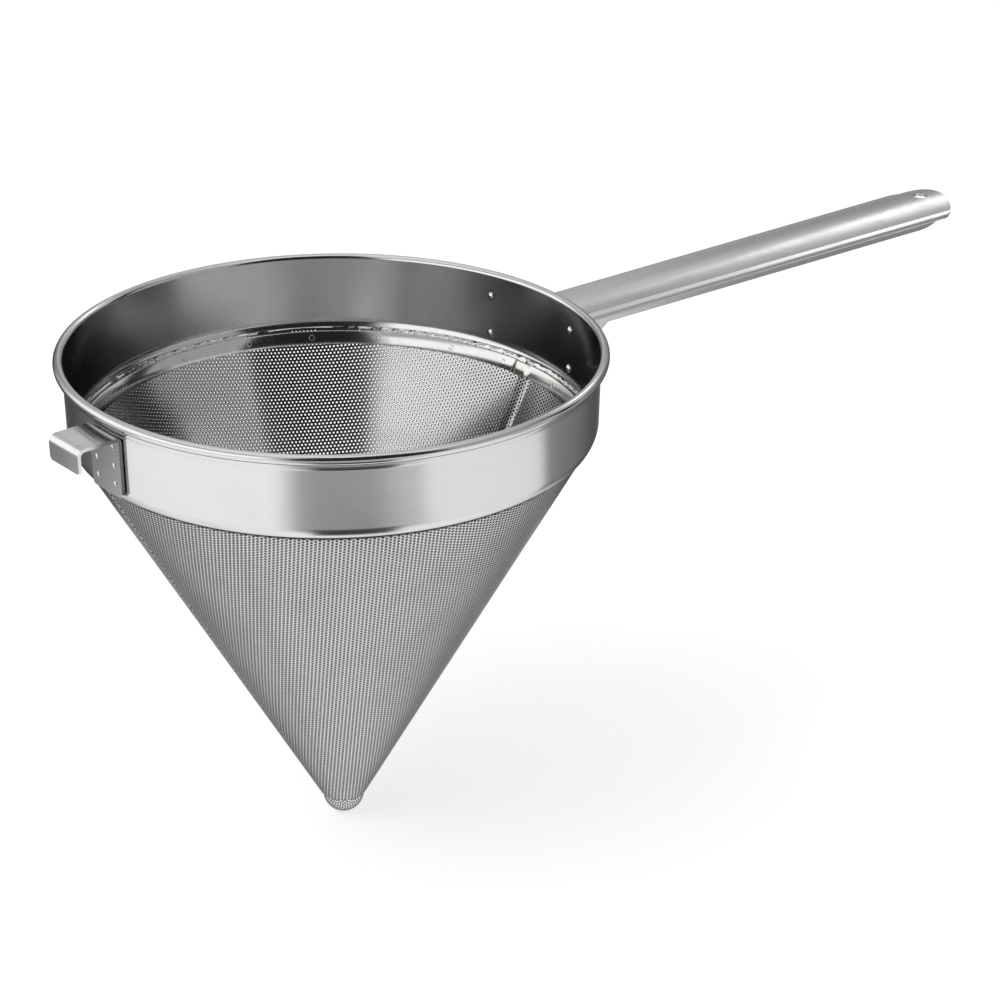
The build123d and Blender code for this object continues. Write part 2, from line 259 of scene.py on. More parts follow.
class Value:
    """A node's output. Arithmetic with it adds math nodes to its tree."""

    __add__ = arithmetic("ADD")
    __radd__ = arithmetic("ADD", swapped=True)
    __sub__ = arithmetic("SUBTRACT")
    __rsub__ = arithmetic("SUBTRACT", swapped=True)
    __mul__ = arithmetic("MULTIPLY")
    __rmul__ = arithmetic("MULTIPLY", swapped=True)
    __truediv__ = arithmetic("DIVIDE")
    __rtruediv__ = arithmetic("DIVIDE", swapped=True)
    __lt__ = arithmetic("LESS_THAN")
    __gt__ = arithmetic("GREATER_THAN")
    at_least = arithmetic("MAXIMUM")
    at_most = arithmetic("MINIMUM")

    def __init__(self, build, socket):
        self.build = build
        self.socket = socket

    def __neg__(self):
        return self * -1.0

    def __abs__(self):
        return self.build.math("ABSOLUTE", self)

    def __ceil__(self):
        return self.build.math("CEIL", self)

    def sin(self):
        return self.build.math("SINE", self)

    def cos(self):
        return self.build.math("COSINE", self)


class TreeBuilder:
    """Adds nodes to a tree. Each input is given a plain value or another node's output."""

    def __init__(self, tree):
        self.tree = tree

    def fill(self, node, inputs):
        for key, value in inputs.items():
            if isinstance(value, Value):
                self.tree.links.new(value.socket, node.inputs[key])
            else:
                node.inputs[key].default_value = value

    def node(self, kind, inputs=None, **attributes):
        node = self.tree.nodes.new(kind)
        for name, value in attributes.items():
            setattr(node, name, value)
        self.fill(node, inputs or {})
        return node

    def add(self, kind, inputs=None, output=0, **attributes):
        """Adds a node and gives one of its outputs."""
        return Value(self, self.node(kind, inputs, **attributes).outputs[output])

    def add_all(self, kind, inputs=None, **attributes):
        """Adds a node and gives all its outputs: Lap Width is called lap_width."""
        outputs = self.node(kind, inputs, **attributes).outputs
        names = [socket.name.lower().replace(" ", "_") for socket in outputs]
        return SimpleNamespace(**{name: Value(self, socket) for name, socket in zip(names, outputs)})

    def group(self, tree, inputs, **attributes):
        return self.add_all("ShaderNodeGroup", inputs, node_tree=tree, **attributes)

    def math(self, operation, *values):
        return self.add("ShaderNodeMath", dict(enumerate(values)), operation=operation)

    def vector(self, operation, *values):
        output = "Value" if operation in ("DOT_PRODUCT", "LENGTH") else "Vector"
        return self.add("ShaderNodeVectorMath", dict(enumerate(values)), output, operation=operation)

    def scale(self, vector, factor):
        return self.add(
            "ShaderNodeVectorMath", {"Vector": vector, "Scale": factor}, "Vector", operation="SCALE")

    def combine(self, x=0.0, y=0.0, z=0.0):
        return self.add("ShaderNodeCombineXYZ", {"X": x, "Y": y, "Z": z})

    def polar(self, radius, angle, z):
        return self.combine(radius * angle.cos(), radius * angle.sin(), z)

    def split(self, vector):
        at = self.add_all("ShaderNodeSeparateXYZ", {"Vector": vector})
        return at.x, at.y, at.z

    def from_axis(self, x, y):
        return self.vector("LENGTH", self.combine(x, y))

    def mix(self, share, low, high):
        """Colour between two colours."""
        return self.add("ShaderNodeMix", {0: share, 6: low, 7: high}, 2, data_type="RGBA")

    def noise(self, vector, scale=1.0, detail=2.0, roughness=0.5, distortion=0.0):
        return self.add("ShaderNodeTexNoise", {
            "Vector": vector, "Scale": scale, "Detail": detail,
            "Roughness": roughness, "Distortion": distortion,
        })

    def smooth_step(self, value, low, high):
        """0 at low, 1 at high and a smooth rise between; low may be the larger."""
        return self.add(
            "ShaderNodeMapRange", {"Value": value, "From Min": low, "From Max": high}, "Result",
            interpolation_type="SMOOTHSTEP")

    # Geometry

    def position(self):
        return self.add("GeometryNodeInputPosition")

    def join(self, *geometries):
        node = self.node("GeometryNodeJoinGeometry")
        for geometry in geometries:
            self.fill(node, {"Geometry": geometry})
        return Value(self, node.outputs[0])

    def moved(self, geometry, position):
        return self.add("GeometryNodeSetPosition", {"Geometry": geometry, "Position": position})

    def merged(self, geometry, size):
        return self.add(
            "GeometryNodeMergeByDistance", {"Geometry": geometry, "Distance": size * MERGE_SHARE})

    def without(self, geometry, selection, domain):
        return self.add(
            "GeometryNodeDeleteGeometry", {"Geometry": geometry, "Selection": selection}, domain=domain)

    def stored(self, geometry, name, value):
        return self.add(
            "GeometryNodeStoreNamedAttribute", {"Geometry": geometry, "Name": name, "Value": value},
            data_type="FLOAT", domain="POINT")


# Kinds of the named sockets that aren't plain numbers
SOCKET_KINDS = {
    "Geometry": "NodeSocketGeometry",
    "Material": "NodeSocketMaterial",
    **dict.fromkeys(("Count", "Seed"), "NodeSocketInt"),
    **dict.fromkeys(("Position", "Direction", "Vector", "Lines Vector"), "NodeSocketVector"),
}


def node_group(name, inputs, outputs, kind="ShaderNodeTree"):
    """Turns a function from a tree's builder and inputs to its outputs into one that makes the tree, once."""
    def decorate(draw):
        @functools.cache
        def make():
            tree = bpy.data.node_groups.new(name, kind)
            if kind == "GeometryNodeTree":
                tree.is_modifier = True
            for in_out, sockets in (("INPUT", inputs), ("OUTPUT", outputs)):
                for socket in sockets:
                    socket_kind = SOCKET_KINDS.get(socket, "NodeSocketFloat")
                    tree.interface.new_socket(socket, in_out=in_out, socket_type=socket_kind)
            build = TreeBuilder(tree)
            build.node("NodeGroupOutput", draw(build, build.add_all("NodeGroupInput")))
            return tree
        return make
    return decorate


def geometry_tree(name, *inputs):
    return node_group(name, [*inputs, "Material"], ["Geometry"], "GeometryNodeTree")


def finished(build, geometry, material, sharp_angle=math.radians(40)):
    """A geometry tree's output: smooth faces with sharp corners, real geometry and its material."""
    real = build.add("GeometryNodeRealizeInstances", {"Geometry": geometry})
    smooth = build.add("GeometryNodeSetShadeSmooth", {"Geometry": real, "Shade Smooth": True})
    corner = build.add("GeometryNodeInputMeshEdgeAngle", output="Unsigned Angle")
    sharpened = build.add(
        "GeometryNodeSetShadeSmooth", {"Geometry": smooth, "Shade Smooth": corner < sharp_angle},
        domain="EDGE")
    done = build.add("GeometryNodeSetMaterial", {"Geometry": sharpened, "Material": material})
    return {"Geometry": done}


# Making pieces

def polar(radius, angle, z=0):
    """Point at a radius and angle about Z."""
    return (radius * math.cos(angle), radius * math.sin(angle), z)


def linked(name, data):
    """A new object in the scene."""
    thing = bpy.data.objects.new(name, data)
    bpy.context.scene.collection.objects.link(thing)
    return thing


def grown_mesh(name, tree, values):
    """Runs a geometry tree on an empty mesh and returns the result as a plain mesh object."""
    seed = linked(name + "_seed", bpy.data.meshes.new(name + "_seed"))
    modifier = seed.modifiers.new("grow", "NODES")
    modifier.node_group = tree
    sockets = {item.name: item.identifier for item in tree.interface.items_tree if item.in_out == "INPUT"}
    for key, value in values.items():
        modifier[sockets[key]] = value
    graph = bpy.context.evaluated_depsgraph_get()
    mesh = bpy.data.meshes.new_from_object(seed.evaluated_get(graph), depsgraph=graph)
    mesh.name = name
    bpy.data.objects.remove(seed)
    return linked(name, mesh)


def built_mesh(name, points, faces, material, sharp_angle):
    """A mesh object with smooth faces and sharp corners."""
    mesh = bpy.data.meshes.new(name)
    mesh.from_pydata(points, [], faces)
    mesh.materials.append(material)
    mesh.shade_smooth()
    mesh.set_sharp_from_angle(angle=sharp_angle)
    return linked(name, mesh)


def place(piece, slot, *nodes):
    """Hangs a finished piece on the root body and hides the nodes that it stands for; the slot is not used.
    """
    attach(piece, "root")
    if nodes:
        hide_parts(*nodes)


# Perforated sheet

HOLE_EDGE = "hole_edge"
LAP = "lap"


def perforated_cell(build, pitch, hole_radius, thickness):
    """Hexagons of sheet, outer face at z 0 and inner face at thickness: one with a hole and one plain."""
    hexagon = build.add(
        "GeometryNodeCurvePrimitiveCircle", {"Resolution": 6, "Radius": pitch / math.sqrt(3)})
    hexagon = build.add(
        "GeometryNodeTransform", {"Geometry": hexagon, "Rotation": (0, 0, math.radians(30))})
    hole = build.add(
        "GeometryNodeCurvePrimitiveCircle", {"Resolution": HOLE_SIDES, "Radius": hole_radius})
    lift = build.combine(z=thickness)
    cells = []
    for outlines in ([hexagon, hole], [hexagon]):
        face = build.add("GeometryNodeFillCurve", {"Curve": build.join(*outlines)})
        outer = build.add("GeometryNodeFlipFaces", {"Mesh": face})
        inner = build.add("GeometryNodeTransform", {"Geometry": face, "Translation": lift})
        cells.append([outer, inner])
    rim = build.add("GeometryNodeMeshCircle", {"Vertices": HOLE_SIDES, "Radius": hole_radius})
    wall = build.add(
        "GeometryNodeExtrudeMesh", {"Mesh": rim, "Offset": lift, "Offset Scale": 1.0}, mode="EDGES")
    wall = build.add("GeometryNodeFlipFaces", {"Mesh": wall})
    x, y, z = build.split(build.position())
    # near_hole marks the holes' rims and walls, where the sheet's material lays painted shade
    near_hole = build.from_axis(x, y) < hole_radius * 1.05
    return build.stored(build.join(*cells[0], wall), HOLE_EDGE, near_hole), build.join(*cells[1])


def laid_cells(build, centres, pierced_here, pitch, hole_radius, thickness, turn=(0, 0, 0)):
    """Cells on the centres, pierced where asked and plain elsewhere, joined into one sheet."""
    pierced, plain = perforated_cell(build, pitch, hole_radius, thickness)
    laid = [
        build.add("GeometryNodeInstanceOnPoints", {
            "Points": centres, "Selection": here, "Instance": cell, "Rotation": turn,
        })
        for cell, here in ((pierced, pierced_here), (plain, 1.0 - pierced_here))
    ]
    sheet = build.add("GeometryNodeRealizeInstances", {"Geometry": build.join(*laid)})
    return build.merged(sheet, pitch)


def staggered_centres(build, pitch, half_width, low_y, high_y):
    """Points in rows along X from low_y up to high_y, every other row half a pitch on."""
    row_height = pitch * ROW_SHARE
    columns = math.ceil(half_width * 2.0 / pitch)
    rows = math.ceil((high_y - low_y) / row_height)
    depth = (rows - 1.0) * row_height
    grid = build.add("GeometryNodeMeshGrid", {
        "Size X": (columns - 1.0) * pitch, "Size Y": depth, "Vertices X": columns, "Vertices Y": rows,
    })
    x, y, z = build.split(build.position())
    from_first = y + depth * 0.5
    row = build.math("ROUND", from_first / row_height)
    shift = build.math("FLOORED_MODULO", row, 2.0) * (pitch * 0.5)
    return build.moved(grid, build.combine(x + shift, from_first + low_y))


@geometry_tree(
    "Rolled perforated sheet", "Pitch", "Hole Radius", "Thickness", "First Row", "Half Angle", "Apex Height",
    "Slant Low", "Slant High", "Piece Start", "Piece End", "Seam Turn", "Span", "Row Turn", "Lap Width",
    "Lap Ramp", "Lap Depth", "Plain Edge")
def rolled_sheet_tree(build, given):
    """A flat sheet of holes in rows, cut to a fan and rolled into half a cone with a lap along one edge."""
    pitch, thickness, span = given.pitch, given.thickness, given.span
    slant_low, slant_high = given.slant_low, given.slant_high
    sin_half, cos_half = given.half_angle.sin(), given.half_angle.cos()

    # Hole centres in rows, turned about the apex
    reach = slant_high + pitch
    row_height = pitch * ROW_SHARE
    rows_below = math.ceil(reach * given.row_turn.sin() / row_height) + 1.0
    centres = staggered_centres(build, pitch, reach, given.first_row - rows_below * row_height, reach)
    row_turn = build.combine(z=given.row_turn)
    centres = build.add("GeometryNodeTransform", {"Geometry": centres, "Rotation": row_turn})

    # Those whose cells touch this piece of the sheet
    position = build.position()
    x, y, z = build.split(position)
    slant = build.vector("LENGTH", position)
    angle = build.math("ARCTAN2", y, x).at_least(0.0)
    margin = pitch * CELL_REACH
    kept = math.prod([
        build.math("SIGN", x).at_least(build.math("SIGN", y)) > 0.0,
        y > -margin,
        angle > given.piece_start - ANGLE_SLACK,
        angle < given.piece_end - ANGLE_SLACK,
        slant > slant_low - margin,
        slant < slant_high + margin,
        slant * (angle - span).sin() < given.lap_width + margin,
    ])
    centres = build.without(centres, kept < 0.5, "POINT")
    pierced_here = (slant < slant_high - given.plain_edge) * (slant > slant_low + given.hole_radius)
    sheet = laid_cells(build, centres, pierced_here, pitch, given.hole_radius, thickness, row_turn)

    # Trimmed to the straight edges
    x, y, z = build.split(build.position())
    flat_spot = build.combine(x, y.at_least(0.0))
    outward = build.combine(-span.sin(), span.cos())
    excess = (build.vector("DOT_PRODUCT", flat_spot, outward) - given.lap_width).at_least(0.0)
    flat_spot = build.vector("SUBTRACT", flat_spot, build.scale(outward, excess))

    # Where the sheet is cut off, its two faces meet
    length = build.vector("LENGTH", flat_spot)
    cut_off = y < 0.0
    for past in (excess > 0.0, length > slant_high, length < slant_low):
        cut_off = cut_off.at_least(past)
    depth = z + cut_off * (thickness * 0.5 - z)

    # Rolled up, with the lapped edge stepped inward
    slant = length.at_least(slant_low).at_most(slant_high)
    x, y, z = build.split(flat_spot)
    turn = build.math("ARCTAN2", y, x)
    over = slant * (turn - span).sin()
    ramp_start = -given.lap_ramp
    inward = depth + build.smooth_step(over, ramp_start, 0.0) * given.lap_depth
    azimuth = turn / sin_half + given.seam_turn
    radius = slant * sin_half - inward * cos_half
    height = slant * cos_half + given.apex_height + inward * sin_half
    # The lap mask marks the lap's step and lapped edge, which the sheet's material darkens with painted shade
    sheet = build.stored(sheet, LAP, build.smooth_step(over, ramp_start, ramp_start * 0.6))
    sheet = build.merged(build.moved(sheet, build.polar(radius, azimuth, height)), pitch)
    area = build.add("GeometryNodeInputMeshFaceArea")
    return finished(build, build.without(sheet, area < NO_AREA, "FACE"), given.material)


class STRAINER_OT_perforated_cone(Operator):
    """Rolls the two half sheets into the cone, with their lap seams"""

    bl_idname = "strainer.perforated_cone"
    bl_label = "Perforated cone"

    def execute(self, context):
        sizes = settings("sheet")
        tree = rolled_sheet_tree()
        span = math.pi * math.sin(cone_half_angle)
        shared = {
            "Pitch": sizes.hole_pitch,
            "Hole Radius": sizes.hole_diameter / 2,
            "Thickness": sizes.thickness,
            "First Row": sizes.first_row,
            "Half Angle": cone_half_angle,
            "Apex Height": cone_apex_height,
            "Slant Low": (cone_low.z - cone_apex_height) / math.cos(cone_half_angle),
            "Slant High": (cone_high.z - cone_apex_height) / math.cos(cone_half_angle),
            "Span": span,
            "Lap Width": sizes.lap_width,
            "Lap Ramp": sizes.lap_ramp,
            "Lap Depth": sizes.lap_depth,
            "Plain Edge": sizes.plain_edge,
            "Material": sheet_steel("Perforated sheet"),
        }
        for half, row_turn in enumerate((0, sizes.row_turn)):
            for index in range(sizes.piece_count):
                last = index == sizes.piece_count - 1
                piece = grown_mesh(f"perforated_sheet_{half + 1}_{index + 1}", tree, {
                    **shared,
                    "Piece Start": span * index / sizes.piece_count,
                    "Piece End": math.pi / 2 + span if last else span * (index + 1) / sizes.piece_count,
                    "Seam Turn": sizes.seam_turn + math.pi * half,
                    "Row Turn": row_turn,
                })
                place(piece, "perforated_sheet", "perforated_cone")
        return {"FINISHED"}


# Cap

@geometry_tree(
    "Drawn perforated cap", "Pitch", "Hole Radius", "Thickness", "Radius", "Skirt", "Collar", "Half Angle",
    "Dome Height")
def cap_tree(build, given):
    """A disc of perforated sheet drawn into a dome with a straight skirt and a sloped collar."""
    pitch, radius = given.pitch, given.radius
    quarter = radius * (math.pi / 2)
    to_collar = quarter + given.skirt
    reach = to_collar + given.collar
    wide = reach + pitch
    centres = staggered_centres(build, pitch, wide, -wide, wide)
    from_pole = build.vector("LENGTH", build.position())
    centres = build.without(centres, from_pole > reach + pitch * 0.5, "POINT")
    sheet = laid_cells(
        build, centres, from_pole < to_collar, pitch, given.hole_radius, given.thickness)

    # Drawn to shape: dome, then skirt, then collar
    x, y, z = build.split(build.position())
    flat = build.combine(x, y)
    run = build.vector("LENGTH", flat).at_most(reach)
    on_dome = run.at_most(quarter)
    on_skirt = run.at_most(to_collar) - on_dome
    on_collar = run - (on_dome + on_skirt)
    sin_half, cos_half = given.half_angle.sin(), given.half_angle.cos()
    bend = on_dome / radius
    inner_radius = radius - z
    out = inner_radius * bend.sin() + on_collar * sin_half
    up = given.dome_height - inner_radius * bend.cos() + on_skirt + on_collar * cos_half
    way = build.vector("NORMALIZE", flat)
    spot = build.vector("ADD", build.scale(way, out), build.combine(z=up))
    return finished(build, build.moved(sheet, spot), given.material)


class STRAINER_OT_tip_cap(Operator):
    """Draws the perforated cap in the cone's point"""

    bl_idname = "strainer.tip_cap"
    bl_label = "Tip cap"

    def execute(self, context):
        sheet = settings("sheet")
        sizes = settings("cap")
        piece = grown_mesh("tip_cap_perforated", cap_tree(), {
            "Pitch": sheet.hole_pitch,
            "Hole Radius": sheet.hole_diameter / 2,
            "Thickness": sizes.sheet,
            "Radius": cap_radius,
            "Skirt": sizes.skirt,
            "Collar": (cap_high.z - cone_low.z) / math.cos(cone_half_angle),
            "Half Angle": cone_half_angle,
            "Dome Height": cap_low.z + cap_radius,
            "Material": sheet_steel("Drawn cap"),
        })
        place(piece, "tip_cap", "tip_cap")
        return {"FINISHED"}


# Band and ring, turned from their sections

def arc(centre, radius, start, end, count):
    """Points of an arc from a start angle to an end angle in degrees."""
    points = []
    for index in range(count + 1):
        x, y, z = polar(radius, math.radians(start + (end - start) * index / count))
        points.append((centre[0] + x, centre[1] + y))
    return points


def turned(name, section, facets, material, step_in=None, sharp_angle=math.radians(35)):
    """Closed section of (radius, height) points turned about Z, drawn in at an angle by step_in of it."""
    points = []
    faces = []
    count = len(section)
    for facet in range(facets):
        angle = 2 * math.pi * facet / facets
        shift = step_in(angle) if step_in else 0
        points += [polar(radius - shift, angle, height) for radius, height in section]
        here = facet * count
        there = (facet + 1) % facets * count
        for index in range(count):
            after = (index + 1) % count
            faces.append((here + index, there + index, there + after, here + after))
    return built_mesh(name, points, faces, material, sharp_angle)


def band_section(sizes):
    """Section of the band's sheet: foot, wall, roll round the wire and hem, anticlockwise."""
    sheet = sizes.sheet
    edge = sheet * EDGE_SHARE
    corner = edge * EDGE_SHARE
    sin_half, cos_half = math.sin(cone_half_angle), math.cos(cone_half_angle)
    slope = math.degrees(cone_half_angle)
    bend = (wall_radius - sizes.shoulder, band_low.z + sizes.shoulder * sin_half + sizes.flange * cos_half)
    roll_radius = band_high.z - (wire_low.z + wire_high.z) / 2
    roll = (wall_radius - sheet + roll_radius, band_high.z - roll_radius)
    bore = roll_radius - sheet
    hem_inner, hem_outer = wall_radius + HEM_GAP, wall_radius + sheet
    hem_angle = 180 + math.degrees(math.acos((roll[0] - hem_outer) / roll_radius))
    corner_angle = 180 + math.degrees(math.acos((roll[0] - hem_inner) / bore))
    blend = 8  # degrees over which the hem runs into the roll
    bend_steps, bore_steps, roll_steps = 12, 24, 40

    def foot_edge(radius, back):
        """Point on a face of the flange, back from its end."""
        run = sizes.flange - back
        return (
            bend[0] + radius * cos_half - run * sin_half,
            bend[1] - radius * sin_half - run * cos_half,
        )

    return [
        foot_edge(sizes.shoulder - corner, corner),
        foot_edge(sizes.shoulder, edge),
        *arc(bend, sizes.shoulder, -slope, 0, bend_steps),
        (wall_radius, roll[1]),
        *arc(roll, bore, 180, corner_angle - 360, bore_steps),
        (hem_inner, edge),
        (hem_inner + edge * 0.4, corner),
        (wall_radius + sheet * 0.5, 0),
        (hem_outer - edge * 0.4, corner),
        (hem_outer, edge),
        (hem_outer, roll[1] + roll_radius * math.sin(math.radians(hem_angle)) - edge),
        *arc(roll, roll_radius, hem_angle + blend, 540, roll_steps),
        *arc(bend, sizes.shoulder - sheet, 0, -slope, bend_steps),
        foot_edge(sizes.shoulder - sheet, edge),
        foot_edge(sizes.shoulder - sheet + corner, corner),
        foot_edge(sizes.shoulder - sheet / 2, 0),
    ]


class STRAINER_OT_band(Operator):
    """Turns the band with its rolled and hemmed edge"""

    bl_idname = "strainer.band"
    bl_label = "Band"

    def execute(self, context):
        sizes = settings("band")
        piece = turned("band_rolled", band_section(sizes), sizes.facets, band_steel("Polished band"))
        place(piece, "band", "band")
        return {"FINISHED"}


def cone_face(height, inset):
    """Radius at a height of the cone that lies inset inside the perforated sheet's outer face."""
    return (height - cone_apex_height) * math.tan(cone_half_angle) - inset / math.cos(cone_half_angle)


def lap_step(sizes, depth):
    """Shift of the ring's radius at an angle: it steps inward over the lap seam."""
    def step_in(angle):
        away = abs((angle - sizes.lap_turn + math.pi) % (2 * math.pi) - math.pi)
        ramp = sizes.lap_reach * 0.45
        share = min(max((sizes.lap_reach - away) / ramp, 0), 1)
        return depth * share * share * (3 - 2 * share)
    return step_in


def ring_section(sizes, inset):
    """Section of the ring with rounded corners, its outer face inset inside the perforated sheet's."""
    edge = sizes.sheet * EDGE_SHARE
    corner = edge * EDGE_SHARE
    inner = inset + sizes.sheet
    section = []
    for height, up, face, inward in (
        (ring_low.z, 1, inset, 1), (ring_high.z, -1, inset, 1),
        (ring_high.z, -1, inner, -1), (ring_low.z, 1, inner, -1),
    ):
        rounded = [
            (cone_face(height, face + inward * edge), height),
            (cone_face(height + up * corner, face + inward * corner), height + up * corner),
            (cone_face(height + up * edge, face), height + up * edge),
        ]
        section += rounded if up == inward else reversed(rounded)
    return section


class STRAINER_OT_retaining_ring(Operator):
    """Turns the ring that covers the sheet's top edge, stepped over the lap seam"""

    bl_idname = "strainer.retaining_ring"
    bl_label = "Retaining ring"

    def execute(self, context):
        sizes = settings("ring")
        sheet = settings("sheet")
        piece = turned(
            "retaining_ring_stepped", ring_section(sizes, sheet.thickness + FIT_GAP),
            settings("band").facets * 2, ring_steel("Polished ring"),
            lap_step(sizes, sheet.lap_depth), math.radians(50))
        place(piece, "retaining_ring", "retaining_ring")
        return {"FINISHED"}


# Spot welds

@geometry_tree(
    "Spot welds", "Count", "Turn", "Radius", "Depth", "Seat Radius", "Seat Height", "Tilt", "Jitter", "Seed")
def weld_tree(build, given):
    """Round marks with a raised rim and a hollow, set round the ring's face."""
    # One mark: a grid wrapped into a disc, X round it and Y out from its middle
    rings, sides = 8, 24
    grid = build.add("GeometryNodeMeshGrid", {
        "Size X": 1.0, "Size Y": 1.0, "Vertices X": sides + 1, "Vertices Y": rings + 1,
    })
    x, y, z = build.split(build.position())
    share = y + 0.5
    turn = (x + 0.5) * (2 * math.pi)
    reach = share * given.radius
    rim = build.smooth_step(share, 0.45, 0.78) * build.smooth_step(share, 1.0, 0.78)
    hollow = build.smooth_step(share, 0.6, 0.0)
    foot = build.smooth_step(share, 1.0, 0.9)
    rise = rim - hollow * 0.4 + foot * 0.45
    disc = build.polar(reach, turn, rise * given.depth)
    mark = build.merged(build.moved(grid, disc), given.radius)

    # The marks round the ring, square to its slope
    line = build.add("GeometryNodeMeshLine", {"Count": given.count})
    index = build.add("GeometryNodeInputIndex")
    shake = build.add(
        "FunctionNodeRandomValue", {"Seed": given.seed, "ID": index}, "Value", data_type="FLOAT")
    step = 2 * math.pi / given.count
    around = index * step + (given.turn + (shake - 0.5) * given.jitter)
    seat = build.polar(given.seat_radius, around, given.seat_height)
    facing = build.polar(-given.tilt.cos(), around, given.tilt.sin())
    turned_up = build.add("FunctionNodeAlignRotationToVector", {"Vector": facing}, axis="Z")
    marks = build.add("GeometryNodeInstanceOnPoints", {
        "Points": build.moved(line, seat), "Instance": mark, "Rotation": turned_up,
    })
    return finished(build, marks, given.material, math.radians(80))


class STRAINER_OT_spot_welds(Operator):
    """Presses the spot weld marks into the ring"""

    bl_idname = "strainer.spot_welds"
    bl_label = "Spot welds"

    def execute(self, context):
        sizes = settings("ring")
        height = (ring_low.z + ring_high.z) / 2
        inner_face = settings("sheet").thickness + FIT_GAP + sizes.sheet
        piece = grown_mesh("ring_spot_welds", weld_tree(), {
            "Count": sizes.weld_count,
            "Turn": sizes.weld_turn,
            "Radius": sizes.weld_radius,
            "Depth": sizes.weld_depth,
            "Seat Radius": cone_face(height, inner_face - WELD_SINK),
            "Seat Height": height,
            "Tilt": cone_half_angle,
            "Jitter": sizes.weld_jitter,
            "Seed": sizes.weld_seed,
            "Material": ring_steel("Weld marks"),
        })
        place(piece, "retaining_ring")
        return {"FINISHED"}


# Rivets

def rivet_section(head_radius, head_height, shank_radius, length, steps=8):
    """Half section of a rivet along its axis: domed head, shank and flat end."""
    dome_radius = (head_radius ** 2 + head_height ** 2) / (2 * head_height)
    top = math.asin(head_radius / dome_radius)
    section = []
    for step in range(1, steps + 1):
        angle = top * step / steps
        section.append((dome_radius * math.sin(angle), head_height - dome_radius * (1 - math.cos(angle))))
    return [*section, (shank_radius, 0), (shank_radius, -length)]


def rivet_mesh(section, head_height):
    """Points and faces of a rivet along Z, its head up."""
    points = [(0, 0, head_height)]
    for radius, height in section:
        points += [polar(radius, 2 * math.pi * side / RIVET_SIDES, height) for side in range(RIVET_SIDES)]
    faces = []
    for side in range(RIVET_SIDES):
        after = (side + 1) % RIVET_SIDES
        faces.append((0, 1 + side, 1 + after))
        for ring in range(len(section) - 1):
            start = 1 + ring * RIVET_SIDES
            end = start + RIVET_SIDES
            faces.append((start + side, end + side, end + after, start + after))
    faces.append(tuple(reversed(range(len(points) - RIVET_SIDES, len(points)))))
    return points, faces


class STRAINER_OT_rivets(Operator):
    """Sets the rivets, with their domed heads inside the band"""

    bl_idname = "strainer.rivets"
    bl_label = "Rivets"

    def execute(self, context):
        sizes = settings("rivets")
        material = rivet_steel("Headed rivets")
        inner_wall = wall_radius - settings("band").sheet
        for node in sorted(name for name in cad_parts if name.startswith("rivet")):
            low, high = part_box(node)
            middle = (low + high) / 2
            way = middle.xy.normalized().to_3d()
            reach = max(point.co.xy.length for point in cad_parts[node].data.vertices)
            section = rivet_section(
                sizes.head_radius, sizes.head_height, sizes.shank_radius, reach - inner_wall)
            points, faces = rivet_mesh(section, sizes.head_height)
            seat = way * inner_wall + Vector((0, 0, middle.z))
            facing = (-way).to_track_quat("Z", "Y").to_matrix()
            points = [seat + facing @ Vector(point) for point in points]
            piece = built_mesh(node + "_domed", points, faces, material, math.radians(50))
            place(piece, "rivet", node)
        return {"FINISHED"}


# Steel

# Scratches: turn of their noise and its stretch along X, Y and Z
SCRATCH_RUNS = ((0.5, (60.0, 1500.0, 900.0)), (-0.9, (1300.0, 80.0, 800.0)), (1.35, (500.0, 1200.0, 45.0)))


@node_group("Round the axis", ["Position", "Along", "Across"], ["Vector"])
def round_the_axis(build, given):
    """Coordinates in which marks run round the strainer's axis: slow along the turn and fast up the wall."""
    x, y, z = build.split(given.position)
    way = build.vector("NORMALIZE", build.combine(x, y))
    rise = build.combine(z=z * given.across)
    return {"Vector": build.vector("ADD", build.scale(way, given.along), rise)}


@node_group(
    "Sheet marks",
    ["Lines Vector", "Position", "Lines Depth", "Wave Size", "Wave Depth", "Smudge Size", "Scratches"],
    ["Height", "Lines", "Smudge", "Scratch"])
def sheet_marks(build, given):
    """Polishing lines, long waves, smudges and scratches of worked steel sheet."""
    position = given.position
    lines = build.noise(given.lines_vector, detail=4.0, roughness=0.65)
    waves = build.noise(position, 1.0 / given.wave_size, detail=1.0, roughness=0.4)
    cloud = build.noise(
        position, 1.0 / given.smudge_size, detail=4.0, roughness=0.6, distortion=0.8)

    # Thin lines where a stretched noise passes its middle value, broken up by clouds
    scratch = 0.0
    for turn, stretch in SCRATCH_RUNS:
        tilted = build.add(
            "ShaderNodeVectorRotate", {"Vector": position, "Angle": turn, "Axis": (0.4, 0.3, 0.86)})
        field = build.noise(build.vector("MULTIPLY", tilted, stretch), 0.5, detail=1.0, roughness=0.3)
        scratch = build.smooth_step(abs(field - 0.5), 0.012, 0.0).at_least(scratch)
    broken = build.smooth_step(build.noise(position, 45.0), 0.56, 0.68)
    scratch = scratch * broken * given.scratches
    height = lines * given.lines_depth + waves * given.wave_depth - scratch * SCRATCH_DEPTH
    smudge = build.smooth_step(cloud, 0.42, 0.72)
    return {"Height": height, "Lines": lines, "Smudge": smudge, "Scratch": scratch}


@node_group(
    "Under the flange", ["Position", "Flange Height", "Reach", "Half Angle", "Apex Height"], ["Crevice"])
def under_the_flange(build, given):
    """Mask of the painted shade below the band's flange, on the outer face of the perforated sheet."""
    x, y, z = build.split(given.position)
    above_apex = z - given.apex_height
    off_face = build.from_axis(x, y) * given.half_angle.cos() - above_apex * given.half_angle.sin()
    outer = build.smooth_step(off_face, -SHADING_START, -SHADING_FULL)
    near = build.smooth_step(given.flange_height - z, given.reach, given.reach * 0.45)
    return {"Crevice": near * outer}


def material_tree(name):
    """A new material, its builder and its Principled shader."""
    material = bpy.data.materials.new(name)
    material.use_nodes = True
    tree = material.node_tree
    return material, TreeBuilder(tree), tree.nodes["Principled BSDF"]


